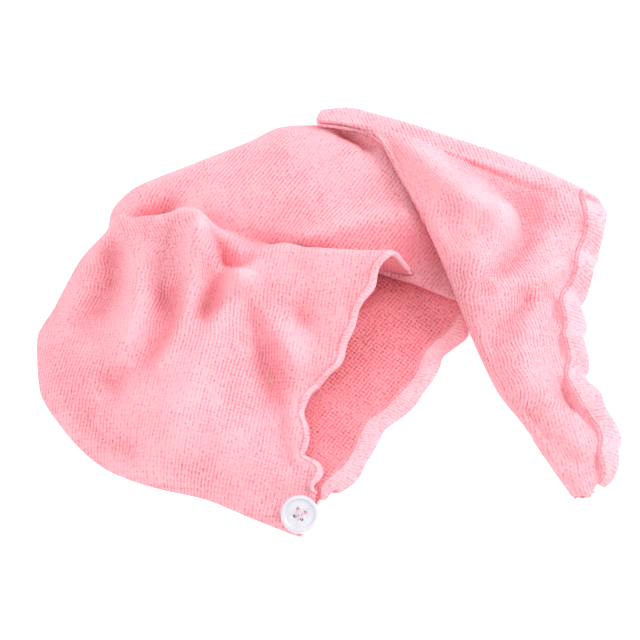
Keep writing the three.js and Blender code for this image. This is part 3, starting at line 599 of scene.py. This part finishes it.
# %% The button
BUTTON_DIAMETER = 26
BUTTON_RIM = 3.2
BUTTON_DISH = 1.1
HOLE_DIAMETER = 2.2
HOLE_SPACING = 5.3
HOLE_TURN = math.radians(-25)
THREAD_DIAMETER = 1.2


def new_object(name, bm):
    """A smooth object of a bmesh, which is freed."""
    mesh = bpy.data.meshes.new(name)
    bm.to_mesh(mesh)
    bm.free()
    mesh.polygons.foreach_set("use_smooth", [True] * len(mesh.polygons))
    piece = bpy.data.objects.new(name, mesh)
    bpy.context.scene.collection.objects.link(piece)
    return piece


def spun(name, profile, segments):
    """A profile of radii and heights in millimetres, turned round the upright axis."""
    bm = bmesh.new()
    line = [bm.verts.new((r * MM, 0, z * MM)) for r, z in profile]
    edges = [bm.edges.new(pair) for pair in zip(line, line[1:])]
    bmesh.ops.spin(bm, geom=line + edges, cent=(0, 0, 0), axis=(0, 0, 1), angle=2 * math.pi, steps=segments)
    bmesh.ops.remove_doubles(bm, verts=bm.verts, dist=1e-6)
    bmesh.ops.recalc_face_normals(bm, faces=bm.faces)
    return new_object(name, bm)


radius, high, inner = BUTTON_DIAMETER / 2, BUTTON_THICKNESS, BUTTON_DIAMETER / 2 - BUTTON_RIM
rim_middle, rim_half = (radius + inner) / 2, BUTTON_RIM / 2
profile = [(0, 0), (radius * 0.8, 0), (radius * 0.9, 0.15), (radius * 0.96, 0.6), (radius, high * 0.45)]
profile += [(rim_middle + rim_half * math.cos(a), high * 0.72 + high * 0.28 * math.sin(a))
            for a in np.radians(np.arange(10, 171, 16))]
profile += [(inner - 0.4, high - BUTTON_DISH * 0.75), (inner - 1.4, high - BUTTON_DISH), (0, high - BUTTON_DISH)]
button = spun("button_turned", profile, 96)
hole_circle, hole_radius = HOLE_SPACING / math.sqrt(2), HOLE_DIAMETER / 2 * MM
holes = [(hole_circle * math.cos(a + HOLE_TURN), hole_circle * math.sin(a + HOLE_TURN))
         for a in np.radians([45, 135, 225, 315])]
for x, y in holes:
    bm = bmesh.new()
    bmesh.ops.create_cone(bm, cap_ends=True, segments=28, radius1=hole_radius, radius2=hole_radius,
                          depth=3 * high * MM)
    drill = new_object("drill", bm)
    drill.location = (x * MM, y * MM, high / 2 * MM)
    cut = button.modifiers.new("hole", "BOOLEAN")
    cut.object, cut.operation, cut.solver = drill, "DIFFERENCE", "EXACT"
    with bpy.context.temp_override(object=button, active_object=button, selected_objects=[button]):
        bpy.ops.object.modifier_apply(modifier="hole")
    bpy.data.objects.remove(drill)
soften = button.modifiers.new("corners", "WEIGHTED_NORMAL")
soften.keep_sharp = True
print("button faces:", len(button.data.polygons))

# %% Its place on the cloth
seat = centre_of("button")
lift = (high / 2 * MM) * math.cos(BUTTON_TILT)
button.rotation_euler = (BUTTON_TILT, 0, 0)
button.location = (seat.x, seat.y + math.sin(BUTTON_TILT) * high / 2 * MM, seat.z - lift)
bpy.context.view_layer.update()
print("button at, mm:", [round(v / MM, 1) for v in button.location])

# %% The thread
THREAD_RADIUS = THREAD_DIAMETER / 2 * 0.65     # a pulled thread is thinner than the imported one
THREAD_TURNS = 2.5
THREAD_STEPS = 40
PLY, PLY_OFFSET = 0.62, 0.45                   # a ply's radius and its distance from the middle, in thread radii
ARCH, DIVE = 0.35, 1.6                         # how far it rises half way, and sinks into the holes, in millimetres


def new_curve(name, radius, sides):
    """A curve with a round section, in metres."""
    curve = bpy.data.curves.new(name, "CURVE")
    curve.dimensions, curve.bevel_depth, curve.bevel_resolution = "3D", radius, sides
    return curve


def twisted_thread(name, ends, radius, turns):
    """Two plies that wind round each other between two points, with a low arch."""
    curve = new_curve(name, radius * PLY * MM, 3)
    start, end = (np.array(e, float) for e in ends)
    run = unit(end - start)
    side = unit(np.cross(run, [0, 0, 1]))
    for ply in (0, math.pi):
        spline = curve.splines.new("POLY")
        spline.points.add(THREAD_STEPS)
        for i in range(THREAD_STEPS + 1):
            f = i / THREAD_STEPS
            angle = 2 * math.pi * turns * f + ply
            bend = np.array([0, 0, 1]) * (ARCH * math.sin(math.pi * f) - DIVE * (2 * f - 1) ** 8)
            round_middle = side * math.cos(angle) + np.array([0, 0, math.sin(angle)])
            p = mix(start, end, f) + bend + PLY_OFFSET * radius * round_middle
            spline.points[i].co = (*(p * MM), 1)
    return curve


thread_heights = [high - BUTTON_DISH + 0.45 + 0.5 * n for n in (0, 1)]
threads = []
for n, (a, b) in enumerate([(0, 2), (1, 3)]):
    ends = [(*holes[a], thread_heights[n]), (*holes[b], thread_heights[n])]
    curve = twisted_thread("stitch", ends, THREAD_RADIUS, THREAD_TURNS)
    threads.append(bpy.data.objects.new("stitch_" + "ab"[n], curve))
    bpy.context.scene.collection.objects.link(threads[-1])
    threads[-1].parent = button
print("stitches:", [t.name for t in threads])

# %% [markdown]
# The loop at the tail's tip is covered elastic. It is hidden under the tip, so a plain ring with a fine twist is
# enough. A Torus would be round, and this one is pulled long, so its ring is swept along a curve.

# %% The elastic loop
LOOP_LENGTH = 26
LOOP_WIDTH = 12
LOOP_CORD = 2.2
LOOP_TURN = math.radians(62)
LOOP_POINTS = 64
middle = centre_of("elastic_loop")
curve = new_curve("loop", LOOP_CORD / 2 * MM, 4)
spline = curve.splines.new("POLY")
spline.points.add(LOOP_POINTS - 1)
spline.use_cyclic_u = True
for i in range(LOOP_POINTS):
    a = 2 * math.pi * i / LOOP_POINTS
    spline.points[i].co = ((LOOP_LENGTH - LOOP_CORD) / 2 * math.cos(a) * MM,
                           (LOOP_WIDTH - LOOP_CORD) / 2 * math.sin(a) * MM, 0, 1)
loop = bpy.data.objects.new("loop_of_elastic", curve)
bpy.context.scene.collection.objects.link(loop)
loop.location, loop.rotation_euler = middle, (0, 0, LOOP_TURN)
print("loop at, mm:", [round(v / MM, 1) for v in middle])

# %% [markdown]
# ## Shader maths as plain Python
# A weave is a formula. Written with nodes by hand it takes dozens of Math nodes, so a small class wraps one socket and
# lets Python's own operators add the nodes.

# %% Wires
class Wire:
    """One output of a material's nodes, on which + - * and ** add Math nodes."""

    def __init__(self, tree, socket):
        self.tree, self.socket = tree, socket

    @staticmethod
    def node(tree, kind, settings=None, sockets=None, out=0):
        """Adds a node: its settings first, then its sockets' values or links."""
        made = tree.nodes.new(kind)
        for name, value in (settings or {}).items():
            setattr(made, name, value)
        for name, value in (sockets or {}).items():
            if isinstance(value, Wire):
                tree.links.new(value.socket, made.inputs[name])
            else:
                made.inputs[name].default_value = value
        return Wire(tree, made.outputs[out]) if len(made.outputs) else None

    def maths(self, operation, other=None, first=False):
        pair = {0: self} if other is None else {0: other, 1: self} if first else {0: self, 1: other}
        return Wire.node(self.tree, "ShaderNodeMath", {"operation": operation}, pair)

    def __add__(self, other): return self.maths("ADD", other)
    def __radd__(self, other): return self.maths("ADD", other, True)
    def __sub__(self, other): return self.maths("SUBTRACT", other)
    def __rsub__(self, other): return self.maths("SUBTRACT", other, True)
    def __mul__(self, other): return self.maths("MULTIPLY", other)
    def __pow__(self, other): return self.maths("POWER", other)
    def sine(self): return self.maths("SINE")
    def size(self): return self.maths("ABSOLUTE")
    def clamped(self): return self.node(self.tree, "ShaderNodeClamp", None, {0: self})

    def between(self, low, high):
        """0 below low and 1 above high, smooth in between."""
        return self.node(self.tree, "ShaderNodeMapRange", {"interpolation_type": "SMOOTHSTEP"},
                         {"Value": self, "From Min": low, "From Max": high})

    def blend(self, a, b):
        """The colour a where this is 0 and b where it is 1."""
        return self.node(self.tree, "ShaderNodeMix", {"data_type": "RGBA"}, {0: self, 6: a, 7: b}, 2)


def new_finish(name):
    """A material with an empty node tree, and that tree."""
    material = bpy.data.materials.new(name)
    material.use_nodes = True
    tree = material.node_tree
    tree.nodes.clear()
    return material, tree


def noise(tree, scale, detail=2.0, vector=None, out=0):
    """Noise over the piece's own metres, or over another vector."""
    sockets = {"Scale": scale, "Detail": detail}
    sockets["Vector"] = vector or Wire.node(tree, "ShaderNodeTexCoord", out="Object")
    return Wire.node(tree, "ShaderNodeTexNoise", None, sockets, out)


def finish_surface(tree, settings, links):
    """A Principled surface: fixed numbers on its own sockets, and links for what changes over it."""
    shader = Wire.node(tree, "ShaderNodeBsdfPrincipled", None, {**settings, **links})
    Wire.node(tree, "ShaderNodeOutputMaterial", None, {"Surface": shader})


def bump(tree, strength, distance, height):
    """A lifted surface for the Normal socket; the distance is in metres."""
    return Wire.node(tree, "ShaderNodeBump", None, {"Strength": strength, "Distance": distance, "Height": height})


def cloth_uv(tree):
    """Places in the flat cloth, in units of MM_PER_UV millimetres."""
    return Wire.node(tree, "ShaderNodeUVMap", {"uv_map": "cloth"})


def split(tree, vector):
    """The first two numbers of a vector."""
    parts = Wire.node(tree, "ShaderNodeSeparateXYZ", None, {0: vector})
    return parts, Wire(tree, parts.socket.node.outputs[1])


print("wires ready")

# %% [markdown]
# ## The waffle cloth
# Microfibre for hair is knitted in small raised cells, about 2.5 mm apart both ways, with a dark gap between them, and
# its fibres blur every edge. The cells come from two rounded waves over the flat cloth's places, shifted a little by
# noise so that no row is perfectly straight. In the photo the gaps show as broken lines and specks, strong in one place
# and lost in another, so coarse noise fades the gaps and fine noise breaks them up. Light that sinks into the gaps and
# folds comes out redder, so both get a deeper pink. A little light also spreads inside the pile, which Subsurface
# gives. The same pattern lifts the surface through a Bump node.

# %% Cloth finish
RIB = 2.5                      # from one cell to the next, in millimetres
ROUNDED = 0.5                  # below 1 makes the cells wide and the gaps between them narrow
SHIFT = (0.006, 0.006, 0)      # how far noise shifts the rows, in UV units
SHADE_FROM, SHADE_TO = -0.15, 0.9     # depths that show the lit pink and the deep pink
SOFT = {"Sheen Weight": 0.15, "Sheen Roughness": 0.5, "Sheen Tint": (1, 0.6, 0.68, 1), "Specular IOR Level": 0.1}
SPREAD = {"Subsurface Weight": 0.2, "Subsurface Radius": (1, 0.3, 0.25), "Subsurface Scale": 0.008}


def cloth_finish(name, lit, deep, across=0.25, redder=0.45):
    """Waffle cloth: across is how strong the gaps between ribs are, redder how much a hollow deepens the pink."""
    material, tree = new_finish(name)
    places = cloth_uv(tree)
    shifted = Wire.node(tree, "ShaderNodeVectorMath", {"operation": "MULTIPLY_ADD"},
                        {0: noise(tree, 3.0, 2.0, places, "Color"), 1: SHIFT, 2: places})
    turns = math.pi * MM_PER_UV / RIB
    ribs, rows = ((way * turns).sine().size() ** ROUNDED for way in split(tree, shifted))
    fuzz = noise(tree, 2200, 3.0)
    tufts = noise(tree, 700, 3.0)
    mottle = noise(tree, 60, 4.0)
    clear = noise(tree, 25, 2.0).between(0.35, 0.65) * 0.5 + noise(tree, 420, 2.0).between(0.3, 0.7) * 0.7
    specks = noise(tree, 1100, 1.0).between(0.42, 0.58)
    gaps = ((1 - ribs) * across + (1 - rows) * 0.8 + (1 - ribs) * (1 - rows) * 0.7) * clear * (0.3 + specks * 1.3)
    height = 1 - gaps + tufts * 0.8 + fuzz * 0.5
    hollow = Wire.node(tree, "ShaderNodeAttribute", {"attribute_name": "hollow"}, out="Fac")
    depth = gaps * 0.9 + (0.55 - tufts) * 0.9 + (0.5 - mottle) * 0.4 + hollow * redder
    finish_surface(tree, {**SOFT, **SPREAD},
                   {"Base Color": depth.between(SHADE_FROM, SHADE_TO).blend(lit, deep),
                    "Normal": bump(tree, 0.75, 0.0011, height), "Roughness": 0.95 - gaps * 0.1})
    return material


PINK = (0.99, 0.47, 0.53, 1)
DEEP_PINK = (0.97, 0.24, 0.29, 1)
# a deeper copy of the pink for the hood's inner faces: painted shade inside the hood
SHADED_INNER_PINK = (0.97, 0.35, 0.40, 1)
SHADED_INNER_DEEP = (0.90, 0.17, 0.21, 1)
towel_finish = cloth_finish("waffle_microfibre", PINK, DEEP_PINK)
inner_shade_finish = cloth_finish("waffle_inner_face_painted_shade", SHADED_INNER_PINK, SHADED_INNER_DEEP, across=0.7)
print("waffle cells are", RIB, "mm apart")

# %% [markdown]
# ## Hem, button and thread
# The hem is the same cloth turned and overlocked: the stitches cross it as short ridges about 2 mm apart. The button is
# glossy white plastic with the faint cloudiness of a moulded part. The thread is matt with a twist.

# %% Hem finish
STITCH = 2.2                   # from one stitch to the next, in millimetres
HEM_PINK = (0.99, 0.5, 0.56, 1)


def hem_finish(name, lit, deep):
    """Cloth crossed by slanting stitches, with a line where they go through the panel's edge."""
    material, tree = new_finish(name)
    places = cloth_uv(tree)
    p, q = split(tree, places)
    jitter = noise(tree, 14, 2.0, places)
    stitches = ((p + q * 0.25 + jitter * 0.012) * (math.pi * MM_PER_UV / STITCH)).sine().size() ** 0.8
    line = 1 - ((q * MM_PER_UV + 0.7).size() * 1.1).clamped()
    tufts, mottle = noise(tree, 560, 3.0), noise(tree, 70, 3.0)
    height = stitches * 0.35 + tufts * 1.1 - line * 0.6
    # the gaps between stitches and the sunken line take the deep pink: painted shade in their grooves
    depth = (1 - stitches) * 0.2 + (0.55 - tufts) * 1.6 + (0.5 - mottle) * 0.7 + line * 0.5
    finish_surface(tree, SOFT, {"Base Color": depth.between(SHADE_FROM, SHADE_TO).blend(lit, deep),
                                "Normal": bump(tree, 0.7, 0.001, height), "Roughness": 0.88 + stitches * 0.08})
    return material


hem_cloth = hem_finish("overlocked_hem", HEM_PINK, DEEP_PINK)
print("stitches are", STITCH, "mm apart")

# %% Button, thread and elastic finishes
CLOUDED, CLEAR = (0.58, 0.57, 0.62, 1), (0.66, 0.65, 0.70, 1)


def plastic_finish():
    """Glossy white plastic with faint clouds."""
    material, tree = new_finish("white_button_plastic")
    cloud, grain = noise(tree, 130, 3.0), noise(tree, 900, 2.0)
    finish_surface(tree, {"Coat Weight": 0.5, "Coat Roughness": 0.08, "Specular IOR Level": 0.5},
                   {"Base Color": cloud.between(0.3, 0.75).blend(CLOUDED, CLEAR),
                    "Roughness": 0.18 + cloud * 0.12, "Normal": bump(tree, 0.06, 0.0003, grain)})
    return material


def thread_finish(name, lit, deep, scale):
    """Matt fibres; the scale is how fine they are."""
    material, tree = new_finish(name)
    fibres, tone = noise(tree, scale, 4.0), noise(tree, 160, 2.0)
    colour = (fibres * 0.7 + tone * 0.4).between(0.3, 0.8).blend(deep, lit)
    finish_surface(tree, {"Specular IOR Level": 0.15},
                   {"Base Color": colour, "Roughness": 0.75 + fibres * 0.2, "Normal": bump(tree, 0.6, 0.0003, fibres)})
    return material


plastic = plastic_finish()
thread_cotton = thread_finish("sewing_thread", (0.9, 0.7, 0.76, 1), (0.84, 0.52, 0.6, 1), 2600)
elastic_cover = thread_finish("covered_elastic", (0.9, 0.5, 0.56, 1), (0.75, 0.3, 0.36, 1), 1500)
for pieces, finish in [((top_cloth, low_cloth), towel_finish), ((top_hem, bottom_hem, front_seam), hem_cloth),
                       ((button,), plastic), (threads, thread_cotton), ((loop,), elastic_cover)]:
    for piece in pieces:
        piece.data.materials.clear()
        piece.data.materials.append(finish)
# the hood's inner faces, painted a deeper pink as shade inside the hood: the lower panel's upper side and the upper
# panel's lower side
for piece, first in [(low_cloth, 0), (top_cloth, 1)]:
    piece.data.materials.append(inner_shade_finish)
    rows, cols = len(t_line) - 1, len(s_line) - 1
    inside = np.zeros(len(piece.data.polygons), dtype=np.int32)
    sides = inside[:2 * rows * cols].reshape(2, rows, cols)
    sides[first, t_line[1:] < HOOD_END] = 1
    piece.data.polygons.foreach_set("material_index", inside)
print("finishes:", [m.name for m in bpy.data.materials])

# %% [markdown]
# ## What each piece stands for
# Every piece rides on the imported towel, says which solid it replaces and which finish slot it takes.

# %% Pieces and slots
stands_for = [
    (top_cloth, "towel", ["top_panel"]), (low_cloth, "towel", ["bottom_panel"]), (top_hem, "hem", ["top_hem"]),
    (bottom_hem, "hem", ["bottom_hem"]), (front_seam, "hem", ["front_seam"]), (button, "button", ["button"]),
    (threads[0], "thread", ["button_thread"]), (loop, "elastic", ["elastic_loop"]),
]
for piece, slot, nodes in stands_for:
    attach(piece, "root")
    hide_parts(*nodes)
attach(threads[1], "root")

# %% [markdown]
# ## Floor, light and camera
# The photograph has a white table that burns out, and soft light from the upper right, so the left sides of the folds
# turn a deeper pink. A pale floor that glows a little, a soft window lamp, a weak one against it and a white surround
# give that. The camera looks down at 65 degrees through a long lens, so that depth hardly changes the scale.

# %% Floor
FLOOR_SIZE = 6
FLOOR_DROP = 0.0002            # keeps the floor clear of the cloth that lies on it
bpy.ops.mesh.primitive_plane_add(size=FLOOR_SIZE, location=(0, 0, -FLOOR_DROP))
floor = bpy.context.object
floor.name = "floor"
material, tree = new_finish("white_table")
tone = noise(tree, 3.0, 3.0)
finish_surface(tree, {"Specular IOR Level": 0.1, "Emission Strength": 0.55, "Emission Color": (1, 1, 1, 1)},
               {"Base Color": tone.between(0.2, 0.8).blend((0.93, 0.93, 0.93, 1), (0.96, 0.96, 0.96, 1)),
                "Roughness": 0.9 + tone * 0.05})
floor.data.materials.append(material)
print("floor is", FLOOR_SIZE, "m wide")

# %% Lamps and surround
def soft_lamp(name, place, size, power):
    """A white disk that faces the frame's origin."""
    light = bpy.data.lights.new(name, "AREA")
    light.shape, light.size, light.energy = "DISK", size, power
    lamp = bpy.data.objects.new(name, light)
    bpy.context.scene.collection.objects.link(lamp)
    lamp.location = place
    lamp.rotation_euler = (-Vector(place)).to_track_quat("-Z", "Y").to_euler()


SURROUND = 0.98
soft_lamp("window", (1.25, 0.75, 0.95), 0.7, 21)
soft_lamp("bounce", (-1.0, -0.6, 1.4), 1.4, 7)
world = bpy.data.worlds.new("studio")
bpy.context.scene.world = world
world.use_nodes = True
background = world.node_tree.nodes["Background"].inputs
background["Color"].default_value, background["Strength"].default_value = (1, 1, 1, 1), SURROUND
print("lamps:", [light.name for light in bpy.data.lights])

# %% Camera
ELEVATION = math.radians(65)
LENS = 400                     # millimetres
SENSOR = 36                    # millimetres, what a new camera has
FRAME = 0.4352                 # width that the picture shows, in metres
target = Vector((-0.0055, -0.0047, 0.02))
distance = FRAME * LENS / SENSOR
camera = bpy.data.objects.new("camera", bpy.data.cameras.new("camera"))
bpy.context.scene.collection.objects.link(camera)
camera.data.lens, camera.data.clip_end = LENS, 20
camera.location = target + distance * Vector((0, -math.cos(ELEVATION), math.sin(ELEVATION)))
camera.rotation_euler = (math.pi / 2 - ELEVATION, 0, 0)
bpy.context.scene.camera = camera
bpy.context.scene.view_settings.view_transform = "Standard"
print("camera is", round(distance, 2), "m away")

# %% [markdown]
# ## The end
# The visual towel has to stay within the imported one's box.

# %% Bring the scene up to date
bpy.context.view_layer.update()
